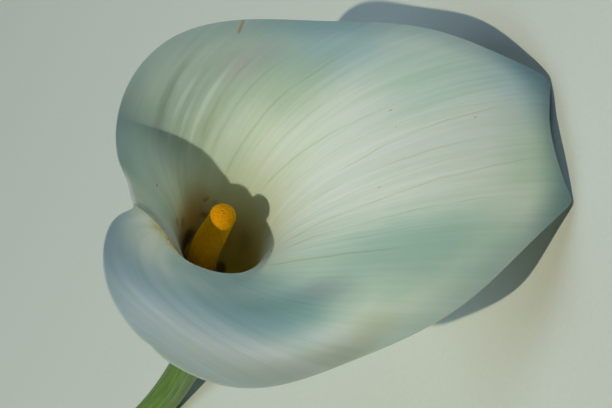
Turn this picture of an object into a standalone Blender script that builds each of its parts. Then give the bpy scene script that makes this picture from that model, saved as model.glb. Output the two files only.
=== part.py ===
"""A picked arum lily flower (Zantedeschia), lying on its back on a table.

The bloom is one white leaf, the spathe, rolled once round into a funnel so that its two margins
overlap at the front. Inside stands the spadix, a finger set with pale pistils below and golden
stamens above. Both sit on the cut end of a fleshy stem.

The pieces are worked out in the bloom's own frame and then laid down. In that frame Z is the
funnel's axis, rising from the top of the stem, +X is the side of the spathe's long tip, and +Y
is the side lobe whose margin lies inside at the overlap. An azimuth is 0 at the tip and grows
to 180 degrees at the seam, positive on the +Y side.
"""

import math

import bpy
import numpy as np
from mathutils import Matrix

MM = 0.001
CLEAR = 0.3 * MM  # gap kept between two pieces that touch

# Spathe: the leaf's length past the tube, the angle its margin opens to from the axis, and how
# late it flares (1 is even, less is sooner), at these azimuths on either side of the tip.
AZIMUTHS = [0, 12, 25, 50, 75, 100, 125, 150, 165, 180]
REACH_INNER_LOBE = [119, 106.5, 92.5, 71, 61, 53, 39.8, 38.9, 38.1, 35.2]
REACH_OUTER_LOBE = [119, 121, 107, 89.5, 75.5, 76, 71.5, 56, 47, 35.2]
OPENING_INNER_LOBE = [89, 89.5, 90, 92, 91, 90, 82, 63, 47.2, 40]
OPENING_OUTER_LOBE = [89, 88.5, 88, 86, 89, 91, 81, 67.5, 50.7, 40]
LATENESS_INNER_LOBE = [1, 1, 1, 1, 0.9, 0.75, 0.8, 1.2, 1.1, 1]
LATENESS_OUTER_LOBE = [1, 1, 1, 1, 1, 1, 1, 1, 1, 1]
TUBE_LENGTH = 48 * MM
BASE_RADIUS = 5.5 * MM
BASE_SWELL = 24  # degrees added to the wall's slope just above the stem
BASE_SWELL_LENGTH = 12 * MM
SEAT_LENGTH = 6 * MM  # over which the foot comes level with the stem
TUBE_SLOPE = 6  # degrees, the wall of the tube from the axis
FLARE_LEAD = 15 * MM  # the flare starts this far below the tube's end
FLARE_LONGEST = 105 * MM
FLARE_LIMIT_SHARPNESS = 6  # how suddenly the flare stops growing with the leaf
FLARE_START = 0.18  # softness of the flare's start
LEAF_THICKNESS = 0.9 * MM
LAYER_PITCH = 1.3 * MM  # between the two layers' middles at the overlap
OVERLAP = 52  # degrees that each margin runs on past the seam
OVERLAP_LOW = 14 * MM  # height of the margin at the end of its overlap
MARGIN_DIP = 0.6  # powers that shape the margin's fall over the overlap
MARGIN_FALL = 0.68

# Rolled tip: the limb's end rolls back along a line across it, bowed and set a little askew.
ROLL_LINE = 92 * MM
ROLL_BOW = 4.5 * MM  # at ROLL_SPAN from the middle
ROLL_SKEW = 8 * MM  # at ROLL_SPAN towards the inner lobe
ROLL_SPAN = 20 * MM
ROLL_RADIUS = 5 * MM
ROLL_MOST = 130  # degrees
ROLL_SOFTNESS = 3 * MM

# Spadix, bowed a little towards the seam.
SPADIX_LENGTH = 65.4 * MM
SPADIX_TIP_RADIUS = 4.1 * MM
SPADIX_RADIUS = 4.75 * MM
SPADIX_TAPER_TOP = 60 * MM  # height at which the taper has reached the tip's radius
SPADIX_TAPER = 14 * MM  # length of the taper
SPADIX_NECK = 3.4 * MM
SPADIX_NECK_LENGTH = 4 * MM
SPADIX_CAP = 76  # degrees that the round tip is turned through before its small flat top
SPADIX_BOW = (-5.0 * MM, 0.2 * MM)  # how far the middle stands off the straight line
SPADIX_BOW_LOW = 0.9  # under 1 puts the most bowed place below the middle
SPADIX_TIP_LEAN = (-1.4 * MM, -0.6 * MM)  # how far the tip stands off the bloom's axis
PISTIL_ZONE = 21 * MM
STAMEN_BUMP = 0.28 * MM
PISTIL_BUMP = 0.42 * MM
STAMEN_ROWS = 33
CAP_ROWS = 5
PISTIL_ROWS = 15
SPADIX_COLUMNS = 28

# Stem: it leaves the bloom straight and bends through STEM_BEND towards STEM_SIDE.
STEM_LENGTH = 110 * MM
STEM_TOP_RADIUS = 6.6 * MM
STEM_RADIUS = 6.0 * MM
STEM_COLLAR = 12 * MM  # length of the taper from the top's radius to the stem's own
STEM_BEND = 30
STEM_BEND_LATE = 1.5  # 1 bends evenly, more bends later
STEM_SIDE = -168  # azimuth, degrees
CUT_SLANT = 8  # degrees off square
STEM_SIDES = 20
STEM_RINGS = 24

# Laid down: the bloom is turned about its axis, then tipped back until the axis rises by LEAN.
TURN = 9.0
LEAN = 28.15
FLAT_DEPTH = 1.2 * MM  # how deep the leaf's resting spots are pressed flat

# Where the leaf's grid lines lie: closer at the rolled tip, at the seam and along the margin.
COLUMN_STOPS = [(0, 0), (9, 30), (22, 150), (26, 180), (31, 198), (35, 180 + OVERLAP)]
ROW_STOPS = [(0, 0), (3, 0.09), (8, 0.35), (15, 0.75), (28, 1)]
PROFILE_POINTS = 501  # to which each profile is worked out before the grid is read from it


def smooth(values, azimuth):
    """The cubic spline through values at AZIMUTHS, level at both ends, read at azimuth (radians)."""
    x = np.radians(np.array(AZIMUTHS, float))
    y = np.array(values, float)
    step = np.diff(x)
    rise = np.diff(y) / step
    rows = np.zeros((len(x), len(x)))
    wanted = np.zeros(len(x))
    rows[0, 0] = rows[-1, -1] = 1
    for i in range(1, len(x) - 1):
        rows[i, i - 1 : i + 2] = step[i], 2 * (step[i - 1] + step[i]), step[i - 1]
        wanted[i] = 3 * (step[i] * rise[i - 1] + step[i - 1] * rise[i])
    slope = np.linalg.solve(rows, wanted)
    at = np.clip(np.abs(azimuth), 0, math.pi)
    i = np.clip(np.searchsorted(x, at, side="right") - 1, 0, len(step) - 1)
    t = (at - x[i]) / step[i]
    return (
        y[i] * (1 + 2 * t) * (1 - t) ** 2
        + slope[i] * step[i] * t * (1 - t) ** 2
        + y[i + 1] * t * t * (3 - 2 * t)
        + slope[i + 1] * step[i] * t * t * (t - 1)
    )


def by_lobe(inner, outer, azimuth):
    return np.where(azimuth >= 0, smooth(inner, azimuth), smooth(outer, azimuth))


def placed(stops):
    """One value for each whole number, on the straight runs between the stops."""
    numbers, values = zip(*stops)
    return np.interp(np.arange(numbers[-1] + 1), numbers, values)


def run_up(slope, step):
    """Radius and height gained along each profile whose angle from the axis is slope."""
    out, up = (
        np.cumsum((wave[:, 1:] + wave[:, :-1]) / 2 * step, axis=1)
        for wave in (np.sin(slope), np.cos(slope))
    )
    zero = np.zeros((len(slope), 1))
    return np.hstack([zero, out]) + BASE_RADIUS, np.hstack([zero, up])


def spathe_skins():
    """The leaf's outer and inner skins, as two grids of points over azimuth and length.

    Each azimuth has a profile whose angle from the axis grows from the tube's slope to the
    margin's opening. Past the roll line the angle grows further, which rolls the tip back.
    """
    one_side = np.radians(placed(COLUMN_STOPS))
    azimuth = np.concatenate([-one_side[:0:-1], one_side])
    reach = by_lobe(REACH_INNER_LOBE, REACH_OUTER_LOBE, azimuth) * MM
    opening = np.radians(by_lobe(OPENING_INNER_LOBE, OPENING_OUTER_LOBE, azimuth))
    lateness = by_lobe(LATENESS_INNER_LOBE, LATENESS_OUTER_LOBE, azimuth)
    sharp = -FLARE_LIMIT_SHARPNESS
    flare = (reach**sharp + FLARE_LONGEST**sharp) ** (1 / sharp)
    past = np.clip((np.abs(azimuth) - math.pi) / math.radians(OVERLAP), 0, 1)
    fall = (1 - past**MARGIN_DIP) ** MARGIN_FALL
    length = OVERLAP_LOW + (TUBE_LENGTH + reach - OVERLAP_LOW) * fall

    along = np.linspace(0, 1, PROFILE_POINTS) * length[:, None]
    step = (length / (PROFILE_POINTS - 1))[:, None]
    x = (along - TUBE_LENGTH + FLARE_LEAD) / (flare + FLARE_LEAD)[:, None]
    x = np.clip(x, 0, None) ** lateness[:, None]
    grown = np.hypot(x, FLARE_START) - FLARE_START
    grown = grown / (math.hypot(1, FLARE_START) - FLARE_START)
    tube = math.radians(TUBE_SLOPE)
    swell = math.radians(BASE_SWELL) * np.exp(-((along / BASE_SWELL_LENGTH) ** 2))
    slope = tube + swell + (opening - tube)[:, None] * grown
    radius, _ = run_up(slope, step)

    back = radius * np.cos(azimuth)[:, None]
    side = radius * np.sin(azimuth)[:, None] / ROLL_SPAN
    beyond = back - (ROLL_LINE + ROLL_BOW * side**2 + ROLL_SKEW * side)
    eased = np.clip(beyond + ROLL_SOFTNESS, 0, None) ** 2 / (4 * ROLL_SOFTNESS)
    beyond = np.where(beyond > ROLL_SOFTNESS, beyond, eased)
    most = math.radians(ROLL_MOST)
    slope = slope + most * np.tanh(beyond / (ROLL_RADIUS * most))
    radius, height = run_up(slope, step)

    at = placed(ROW_STOPS) * (PROFILE_POINTS - 1)
    low = np.clip(at.astype(int), 0, PROFILE_POINTS - 2)
    part = at - low
    radius, height, slope, along = (
        grid[:, low] * (1 - part) + grid[:, low + 1] * part
        for grid in (radius, height, slope, along)
    )
    level = np.sin(slope[:, :1]) * np.exp(-((along / SEAT_LENGTH) ** 2))  # the foot ends level
    skins = []
    for half in (-0.5, 0.5):
        inward = LAYER_PITCH * azimuth[:, None] / (2 * math.pi) + half * LEAF_THICKNESS
        r = radius - np.cos(slope) * inward
        z = height + (np.sin(slope) - level) * inward
        spread = [r * np.cos(azimuth)[:, None], r * np.sin(azimuth)[:, None], z]
        skins.append(np.stack(spread, axis=-1))
    return skins


def laid_down(points):
    """Points of the bloom's frame turned about its axis and tipped back onto the table."""
    turn = Matrix.Rotation(math.radians(TURN), 3, "Z")
    tip = Matrix.Rotation(math.radians(90 - LEAN), 3, "Y")
    return points @ np.array(tip @ turn).T


def closed_strip(columns, rows):
    """Both skins of a grid split into triangles alike, and the rim that joins them.

    The two sides of the tip are split as mirror images, so that the edges run along the roll.
    """
    index = np.arange(columns * rows).reshape(columns, rows)
    a, b, c, d = index[:-1, :-1], index[1:, :-1], index[1:, 1:], index[:-1, 1:]
    tip = columns // 2
    first = [np.stack(t, -1)[:tip].reshape(-1, 3) for t in ((a, b, d), (b, c, d))]
    second = [np.stack(t, -1)[tip:].reshape(-1, 3) for t in ((a, b, c), (a, c, d))]
    one = np.concatenate(first + second)
    shift = columns * rows
    other = one[:, ::-1] + shift
    edge = np.concatenate([index[:-1, 0], index[-1, :-1], index[:0:-1, -1], index[0, :0:-1]])
    after = np.roll(edge, -1)
    rim = [(edge, edge + shift, after), (after, edge + shift, after + shift)]
    return np.concatenate([one, other] + [np.stack(t, -1) for t in rim])


def ring_solid(rings):
    """A closed solid through rings of points, each end closed by a fan to its middle."""
    count = rings.shape[1]
    points = np.concatenate([rings.reshape(-1, 3), [rings[0].mean(0), rings[-1].mean(0)]])
    faces = []
    around = np.arange(count)
    after = (around + 1) % count
    for i in range(len(rings) - 1):
        low, high = i * count, (i + 1) * count
        faces.append(np.stack([low + around, low + after, high + after], -1))
        faces.append(np.stack([low + around, high + after, high + around], -1))
    last = (len(rings) - 1) * count
    faces.append(np.stack([np.full(count, len(points) - 2), after, around], -1))
    faces.append(np.stack([np.full(count, len(points) - 1), last + around, last + after], -1))
    return points, np.concatenate(faces)


def spadix_zone(bottom, top, rows, bump):
    """A length of the spadix, set with bumps: every other point of the grid stands out.

    The radius narrows to a neck at the stem, tapers upwards and ends in a half ball. The middle
    line bows to one side, and its tip stands a little off the bloom's axis.
    """
    ball = SPADIX_LENGTH - SPADIX_TIP_RADIUS
    if top < SPADIX_LENGTH:
        heights = np.linspace(bottom, top, rows)
    else:
        turned = np.linspace(0, math.radians(SPADIX_CAP), CAP_ROWS)
        cap = ball + SPADIX_TIP_RADIUS * np.sin(turned[1:])
        heights = np.concatenate([np.linspace(bottom, ball, rows), cap])
    dome = np.sqrt(1 - (np.clip(heights - ball, 0, None) / SPADIX_TIP_RADIUS) ** 2)
    neck = (SPADIX_RADIUS - SPADIX_NECK) * np.exp(-heights / SPADIX_NECK_LENGTH)
    down = np.clip((SPADIX_TAPER_TOP - heights) / SPADIX_TAPER, 0, 1)
    full = SPADIX_TIP_RADIUS + (SPADIX_RADIUS - SPADIX_TIP_RADIUS) * down**2 * (3 - 2 * down)
    radius = full * dome - neck
    around = np.linspace(0, 2 * math.pi, SPADIX_COLUMNS, endpoint=False)
    row = np.arange(len(heights))[:, None]
    column = np.arange(SPADIX_COLUMNS)
    raised = np.where((row + column) % 2 == 0, bump, 0) * dome[:, None]
    share = np.clip(heights / ball, 0, 1)
    bowed = np.sin(math.pi * share**SPADIX_BOW_LOW)[:, None]
    leaned = share[:, None] ** 2
    r = radius[:, None] - bump / 2 + raised
    return np.stack(
        [
            r * np.cos(around) + SPADIX_BOW[0] * bowed + SPADIX_TIP_LEAN[0] * leaned,
            r * np.sin(around) + SPADIX_BOW[1] * bowed + SPADIX_TIP_LEAN[1] * leaned,
            np.repeat(heights[:, None], SPADIX_COLUMNS, axis=1),
        ],
        axis=-1,
    )


def stem_rings():
    """Rings down the stem from just under the bloom to the slanting cut."""
    share = np.linspace(0, 1, STEM_RINGS)
    bend = math.radians(STEM_BEND) * share**STEM_BEND_LATE
    side = math.radians(STEM_SIDE)
    outward = np.array([math.cos(side), math.sin(side), 0])
    across = np.array([-math.sin(side), math.cos(side), 0])
    down = np.array([0, 0, -1])
    tangent = np.cos(bend)[:, None] * down + np.sin(bend)[:, None] * outward
    length = STEM_LENGTH / (STEM_RINGS - 1)
    steps = (tangent[1:] + tangent[:-1]) / 2 * length
    middle = np.concatenate([np.zeros((1, 3)), np.cumsum(steps, axis=0)]) + CLEAR * down
    lift = np.cross(across, tangent)
    collar = np.exp(-share * STEM_LENGTH / STEM_COLLAR)
    radius = STEM_RADIUS + (STEM_TOP_RADIUS - STEM_RADIUS) * collar
    around = np.linspace(0, 2 * math.pi, STEM_SIDES, endpoint=False)[None, :, None]
    spread = np.cos(around) * lift[:, None, :] + np.sin(around) * across
    rings = middle[:, None, :] + radius[:, None, None] * spread
    slant = math.tan(math.radians(CUT_SLANT)) * STEM_RADIUS * np.cos(around[0])
    rings[-1] += slant * tangent[-1]
    return rings


def principled(name, colour, roughness):
    material = bpy.data.materials.new(name)
    material.use_nodes = True
    shader = material.node_tree.nodes["Principled BSDF"]
    shader.inputs["Base Color"].default_value = (*colour, 1)
    shader.inputs["Roughness"].default_value = roughness
    shader.inputs["Metallic"].default_value = 0
    return material


def add_piece(name, points, faces, material, smooth_angle=40):
    mesh = bpy.data.meshes.new(name)
    mesh.from_pydata(points.tolist(), [], faces.tolist())
    mesh.update()
    mesh.materials.append(material)
    mesh.shade_smooth()
    mesh.set_sharp_from_angle(angle=math.radians(smooth_angle))
    piece = bpy.data.objects.new(name, mesh)
    bpy.context.scene.collection.objects.link(piece)
    return piece


def main():
    for old in list(bpy.data.objects):
        bpy.data.objects.remove(old, do_unlink=True)

    outer, inner = (laid_down(skin) for skin in spathe_skins())
    stem = laid_down(stem_rings())
    pistils = laid_down(spadix_zone(CLEAR, PISTIL_ZONE, PISTIL_ROWS, PISTIL_BUMP))
    above = PISTIL_ZONE + CLEAR
    stamens = laid_down(spadix_zone(above, SPADIX_LENGTH, STAMEN_ROWS, STAMEN_BUMP))

    # The table's height, and the middle of the flower's box over it.
    leaf = np.stack([outer, inner])
    table = leaf[..., 2].min() + FLAT_DEPTH
    everything = np.concatenate([leaf.reshape(-1, 3), stem.reshape(-1, 3)])
    middle = (everything.min(0) + everything.max(0)) / 2
    origin = np.array([middle[0], middle[1], table])
    leaf, stem, pistils, stamens = (points - origin for points in (leaf, stem, pistils, stamens))

    # Where the leaf would dip below the table both skins are lifted together, so it rests on
    # small flat spots at its full thickness. The stem is pressed flat where it touches.
    leaf[..., 2] += np.clip(-leaf[..., 2].min(axis=0), 0, None)
    stem[..., 2] = np.clip(stem[..., 2], 0, None)

    faces = closed_strip(*leaf.shape[1:3])
    white = principled("spathe_white", (0.80, 0.82, 0.74), 0.5)
    add_piece("spathe", leaf.reshape(-1, 3), faces, white)
    golden = principled("stamen_gold", (0.75, 0.38, 0.01), 0.7)
    add_piece("spadix_stamens", *ring_solid(stamens), golden)
    pale = principled("pistil_green", (0.55, 0.60, 0.25), 0.6)
    add_piece("spadix_pistils", *ring_solid(pistils), pale)
    green = principled("stem_green", (0.12, 0.27, 0.05), 0.45)
    add_piece("stem", *ring_solid(stem), green)


main()
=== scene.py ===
"""The looks of a picked arum lily that lies on its back on a pale table.

The pieces come in the order in which the flower is built up: the stem, the white leaf rolled into
a funnel, the finger with its stamens and pistils, and the pollen that has fallen from it. Then
come the table, the light and the camera. Lengths are in metres.
"""

import math

import bpy
import numpy as np
from mathutils import Matrix, Vector


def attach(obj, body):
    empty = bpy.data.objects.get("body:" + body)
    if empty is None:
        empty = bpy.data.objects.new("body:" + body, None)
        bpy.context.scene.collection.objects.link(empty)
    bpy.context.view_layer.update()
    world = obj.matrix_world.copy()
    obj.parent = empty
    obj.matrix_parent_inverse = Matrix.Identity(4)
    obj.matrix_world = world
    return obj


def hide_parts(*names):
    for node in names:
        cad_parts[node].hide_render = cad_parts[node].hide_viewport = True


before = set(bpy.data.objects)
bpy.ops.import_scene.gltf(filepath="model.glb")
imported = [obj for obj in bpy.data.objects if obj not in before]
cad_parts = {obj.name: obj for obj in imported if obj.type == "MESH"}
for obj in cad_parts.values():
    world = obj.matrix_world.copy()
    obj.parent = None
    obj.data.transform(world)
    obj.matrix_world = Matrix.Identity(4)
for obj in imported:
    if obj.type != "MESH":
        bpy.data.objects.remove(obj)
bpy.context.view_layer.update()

# ----------------------------------------------------------------------------
# Stem
# A fleshy stalk as thick as a finger, full of air canals. Its skin is smooth, waxy and green, with
# faint ribs over the bundles, and it ends in a slanting cut that shows the paler, spongy flesh.
# ----------------------------------------------------------------------------
MM = 0.001
STEM_LENGTH = 110 * MM
STEM_TOP_RADIUS = 6.6 * MM
STEM_RADIUS = 6.0 * MM
STEM_COLLAR = 12 * MM  # the stem thins to its plain radius over this far
STEM_BEND = math.radians(30)
STEM_BEND_LATE = 1.5
STEM_SIDE = math.radians(-168)  # the side of the bloom to which it bends
STEM_SIDES = 120
STEM_STEPS = 240
STEM_PATH_POINTS = 1001
STEM_RIBS = 13
RIB_HEIGHT = 0.07 * MM
RIB_DRIFT = 0.5  # radians by which the ribs' spacing is uneven
RIB_FADE = 10 * MM  # they rise to their full height over this far
TOP_LIP = 1.0 * MM
CUT_SLANT = math.radians(8)
CUT_BLEND = 4.8 * MM
CUT_EDGE = 0.25 * MM
CUT_RIM = 0.1 * MM  # bare flesh shows from this near to the cut's plane
CLEAR = 0.3 * MM

# How the flower lies: turned about its own axis, then tipped back until that axis rises by LEAN.
TURN = math.radians(9.0)
LEAN = math.radians(28.15)


def turned(axis, angle):
    """The 3 by 3 matrix of a turn by angle about axis 1 (Y) or 2 (Z)."""
    c, s = math.cos(angle), math.sin(angle)
    if axis == 1:
        return np.array([[c, 0, s], [0, 1, 0], [-s, 0, c]])
    return np.array([[c, -s, 0], [s, c, 0], [0, 0, 1]])


to_table = turned(1, math.pi / 2 - LEAN) @ turned(2, TURN)
bloom_axis = to_table[:, 2]

# The stem's top end in the frame is a flat disc square to the bloom's axis. The bloom's foot
# stands the usual clearance above the middle of that disc.
stem_corners = np.empty(len(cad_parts["stem"].data.vertices) * 3, np.float32)
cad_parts["stem"].data.vertices.foreach_get("co", stem_corners)
stem_corners = np.unique(np.round(stem_corners.reshape(-1, 3), 6), axis=0)
up_axis = stem_corners @ bloom_axis
foot = stem_corners[up_axis > up_axis.max() - 0.05 * MM].mean(axis=0) + CLEAR * bloom_axis


def laid_down(points):
    """Points of the bloom's own frame (Z its axis, X the side of the tip) put on the table."""
    placed = points @ to_table.T + foot
    placed[..., 2] = np.clip(placed[..., 2], 0, None)
    return placed


def rings_faces(rings, around):
    """Four-sided faces between rings of points, and a many-sided one that closes each end."""
    index = np.arange(rings * around).reshape(rings, around)
    after = np.roll(index, -1, axis=1)
    sides = np.stack([index[:-1], after[:-1], after[1:], index[1:]], axis=-1).reshape(-1, 4)
    return sides.tolist() + [index[0, ::-1].tolist(), index[-1].tolist()]


def hex_colour(code):
    """An sRGB hex colour as linear red, green, blue and an alpha of 1."""
    part = [int(code[i : i + 2], 16) / 255 for i in (1, 3, 5)]
    return [p / 12.92 if p <= 0.04045 else ((p + 0.055) / 1.055) ** 2.4 for p in part] + [1]


def add_node(tree, kind, inputs=(), **settings):
    """Adds a node, sets its settings, and sets or links each input given by name or number."""
    node = tree.nodes.new(kind)
    for key, value in settings.items():
        setattr(node, key, value)
    for key, value in dict(inputs).items():
        if isinstance(value, bpy.types.NodeSocket):
            tree.links.new(value, node.inputs[key])
        else:
            node.inputs[key].default_value = value
    return node


def new_material(name):
    """A named material and its node tree, which is empty."""
    material = bpy.data.materials.new(name)
    material.use_nodes = True
    material.node_tree.nodes.clear()
    return material, material.node_tree


def add_piece(name, points, faces, material, values=()):
    """A smooth-shaded mesh piece of the flower, with its named values at each point."""
    mesh = bpy.data.meshes.new(name)
    mesh.from_pydata(np.reshape(points, (-1, 3)).tolist(), [], faces)
    for key, value in dict(values).items():
        flat = np.ascontiguousarray(value, np.float32)
        if flat.shape[-1] == 3:
            mesh.attributes.new(key, "FLOAT_VECTOR", "POINT").data.foreach_set("vector", flat.ravel())
        else:
            mesh.attributes.new(key, "FLOAT", "POINT").data.foreach_set("value", flat.ravel())
    mesh.materials.append(material)
    mesh.update()
    mesh.shade_smooth()
    made = bpy.data.objects.new(name, mesh)
    bpy.context.scene.collection.objects.link(made)
    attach(made, "root")
    return made


def stem_surface():
    """Rings from the middle of the top, over its lip, down the shaft and in across the cut.

    The middle line leaves the bloom straight and bends by STEM_BEND times the share of the
    length to the power STEM_BEND_LATE. The ribs are a cosine round the shaft.
    """
    lip = np.radians(np.linspace(0, 90, 7))
    edge = np.radians(np.linspace(15, 90, 6))
    shaft = np.linspace(TOP_LIP, STEM_LENGTH - CUT_EDGE, STEM_STEPS)[1:]
    # The rings over the flat top and over the cut, as shares of the radius there.
    over_top = np.array([0.02, 0.3, 0.6])
    over_cut = np.linspace(0.92, 0.03, 9)
    down = np.concatenate([
        0 * over_top, TOP_LIP * (1 - np.cos(lip)), shaft,
        STEM_LENGTH - CUT_EDGE * (1 - np.sin(edge)), STEM_LENGTH + 0 * over_cut,
    ])
    inset = np.concatenate([
        0 * over_top, TOP_LIP * (1 - np.sin(lip)), 0 * shaft,
        CUT_EDGE * (1 - np.cos(edge)), CUT_EDGE + 0 * over_cut,
    ])
    full = np.ones(len(down) - len(over_top) - len(over_cut))
    share = np.concatenate([over_top, full, over_cut])

    last = STEM_PATH_POINTS - 1
    bend = STEM_BEND * np.linspace(0, 1, STEM_PATH_POINTS) ** STEM_BEND_LATE
    outward = np.array([math.cos(STEM_SIDE), math.sin(STEM_SIDE), 0])
    across = np.array([-math.sin(STEM_SIDE), math.cos(STEM_SIDE), 0])
    tangent = np.outer(np.sin(bend), outward) - np.outer(np.cos(bend), [0, 0, 1])
    path = np.concatenate([np.zeros((1, 3)), np.cumsum((tangent[1:] + tangent[:-1]) / 2, axis=0)])
    path = path * STEM_LENGTH / last - [0, 0, CLEAR]

    at = down / STEM_LENGTH * last
    steps = np.arange(STEM_PATH_POINTS)
    middle = np.stack([np.interp(at, steps, path[:, i]) for i in range(3)], axis=-1)
    bend = np.interp(at, steps, bend)
    tangent = np.outer(np.sin(bend), outward) - np.outer(np.cos(bend), [0, 0, 1])
    lift = np.cross(across, tangent)

    round_it = np.linspace(0, 2 * math.pi, STEM_SIDES, endpoint=False)
    radius = STEM_RADIUS + (STEM_TOP_RADIUS - STEM_RADIUS) * np.exp(-down / STEM_COLLAR)
    ribs = np.cos(STEM_RIBS * round_it + RIB_DRIFT * np.sin(3 * round_it))
    fade = np.clip(down / RIB_FADE, 0, 1)[:, None]
    radius = (radius[:, None] + RIB_HEIGHT * fade * ribs - inset[:, None]) * share[:, None]
    spread = np.cos(round_it)[None, :, None] * lift[:, None] + np.sin(round_it)[None, :, None] * across
    slant = math.tan(CUT_SLANT) * radius * np.cos(round_it)
    slant = slant * np.clip(1 - (STEM_LENGTH - down) / CUT_BLEND, 0, 1)[:, None]
    points = middle[:, None] + radius[..., None] * spread + slant[..., None] * tangent[:, None]
    cut = np.repeat((STEM_LENGTH - down < CUT_RIM)[:, None], STEM_SIDES, axis=1)
    core = np.where(cut, share[:, None], 1)
    grain = np.broadcast_arrays(round_it * STEM_RADIUS / MM, down[:, None] / MM, 0 * radius)
    return points, {"grain": np.stack(grain, axis=-1), "cut": cut.astype(float), "core": core}


def stem_material():
    """Waxy green plant skin: a little gloss from the wax, fine lengthwise streaks, spongy cut."""
    material, tree = new_material("waxy_green_stem_skin")
    grain = add_node(tree, "ShaderNodeAttribute", attribute_name="grain").outputs["Vector"]
    cut = add_node(tree, "ShaderNodeAttribute", attribute_name="cut").outputs["Fac"]
    core = add_node(tree, "ShaderNodeAttribute", attribute_name="core").outputs["Fac"]
    down = add_node(tree, "ShaderNodeSeparateXYZ", {0: grain}).outputs[1]
    spot = add_node(tree, "ShaderNodeTexCoord").outputs["Object"]

    # Streaks about 0.8 mm apart that run on for centimetres, and paler skin just under the bloom.
    along = add_node(tree, "ShaderNodeVectorMath", {0: grain, 1: (1.2, 0.04, 1)}, operation="MULTIPLY")
    streak = add_node(tree, "ShaderNodeTexNoise", {"Vector": along.outputs[0], "Scale": 1.0, "Detail": 3.0})
    streak = streak.outputs[0]
    tone = add_node(tree, "ShaderNodeMapRange", {0: streak, 1: 0.35, 2: 0.65}).outputs[0]
    top = add_node(tree, "ShaderNodeMapRange", {0: down, 1: 0.0, 2: 26.0, 3: 0.75, 4: 0.0}).outputs[0]
    # The cut: pale wet flesh riddled with air canals 0.5 mm wide, 1.3 to the millimetre, greener
    # under the skin.
    canals = add_node(tree, "ShaderNodeTexVoronoi", {"Vector": spot, "Scale": 1.3 / MM}).outputs["Distance"]
    wall = add_node(tree, "ShaderNodeMapRange", {0: canals, 1: 0.25, 2: 0.5}).outputs[0]
    rind = add_node(tree, "ShaderNodeMapRange", {0: core, 1: 0.86, 2: 0.95}).outputs[0]

    skin = hex_colour("#57793A")
    for share, code in ((tone, "#7F9C55"), (top, "#A5B978")):
        skin = add_node(tree, "ShaderNodeMix", {0: share, 6: skin, 7: hex_colour(code)}, data_type="RGBA")
        skin = skin.outputs[2]
    flesh = hex_colour("#93A268")
    for share, code in ((wall, "#D7DDB4"), (rind, "#8CA45C")):
        flesh = add_node(tree, "ShaderNodeMix", {0: share, 6: flesh, 7: hex_colour(code)}, data_type="RGBA")
        flesh = flesh.outputs[2]
    colour = add_node(tree, "ShaderNodeMix", {0: cut, 6: skin, 7: flesh}, data_type="RGBA")
    rough = add_node(tree, "ShaderNodeMapRange", {0: streak, 1: 0.3, 2: 0.7, 3: 0.34, 4: 0.5})
    bump = add_node(tree, "ShaderNodeBump", {"Height": streak, "Strength": 0.25, "Distance": 0.1 * MM})
    shader = add_node(tree, "ShaderNodeBsdfPrincipled", {
        "Base Color": colour.outputs[2], "Roughness": rough.outputs[0], "Normal": bump.outputs[0],
        "Subsurface Weight": 0.15, "Subsurface Radius": (0.8, 1.0, 0.4), "Subsurface Scale": 2 * MM,
    })
    add_node(tree, "ShaderNodeOutputMaterial", {"Surface": shader.outputs[0]})
    return material


points, values = stem_surface()
stem = add_piece("fleshy_stem", laid_down(points), rings_faces(*points.shape[:2]), stem_material(), values)
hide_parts("stem")

# ----------------------------------------------------------------------------
# Spathe
# The one white leaf, rolled once round into a funnel, its inner margin lying inside the outer one
# at the seam. It is barely a millimetre thick, soft and faintly see-through, with fine veins that
# leave the throat all round and bend towards the tip, which rolls back under.
# ----------------------------------------------------------------------------
# How far the leaf reaches past the tube in millimetres, the angle in degrees at which it opens from
# the axis, and how late its flare comes, each at ten azimuths from the tip (0) to the seam (180).
AZIMUTHS = [0, 12, 25, 50, 75, 100, 125, 150, 165, 180]
REACH_INNER_LOBE = [119, 106.5, 92.5, 71, 61, 53, 39.8, 38.9, 38.1, 35.2]
REACH_OUTER_LOBE = [119, 121, 107, 89.5, 75.5, 76, 71.5, 56, 47, 35.2]
OPENING_INNER_LOBE = [89, 89.5, 90, 92, 91, 90, 82, 63, 47.2, 40]
OPENING_OUTER_LOBE = [89, 88.5, 88, 86, 89, 91, 81, 67.5, 50.7, 40]
LATENESS_INNER_LOBE = [1, 1, 1, 1, 0.9, 0.75, 0.8, 1.2, 1.1, 1]
LATENESS_OUTER_LOBE = [1, 1, 1, 1, 1, 1, 1, 1, 1, 1]
TUBE_LENGTH = 48 * MM
TUBE_SLOPE = math.radians(6)
BASE_RADIUS = 5.5 * MM
BASE_SWELL = math.radians(24)
BASE_SWELL_LENGTH = 12 * MM
SEAT_LENGTH = 6 * MM
FLARE_LEAD = 15 * MM  # the flare begins this far below the tube's end
FLARE_LONGEST = 105 * MM
FLARE_LIMIT_SHARPNESS = 6
FLARE_START = 0.18
LAYER_PITCH = 1.3 * MM  # the leaf winds inwards by this much in a whole turn
OVERLAP = math.radians(52)
OVERLAP_LOW = 14 * MM
MARGIN_DIP = 0.6
MARGIN_FALL = 0.68
# The tip rolls back under past a line across the blade that bows and runs askew.
ROLL_LINE = 92 * MM
ROLL_BOW = 4.5 * MM
ROLL_SKEW = 8 * MM
ROLL_SPAN = 20 * MM
ROLL_RADIUS = 5 * MM
ROLL_MOST = math.radians(130)
ROLL_SOFTNESS = 3 * MM

LEAF_THICKNESS = 0.9 * MM
MARGIN_THICKNESS = 0.45 * MM
MARGIN_THINNING = 9 * MM  # the leaf thins over this far from its margin
VEIN_START = 12 * MM  # the throat's radius, out to which the veins run straight up
VEIN_SWEEP = 40 * MM  # how far past it they have bent halfway towards the tip
VEIN_MEASURE = 20 * MM  # the radius at which the spacing of veins is given
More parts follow.
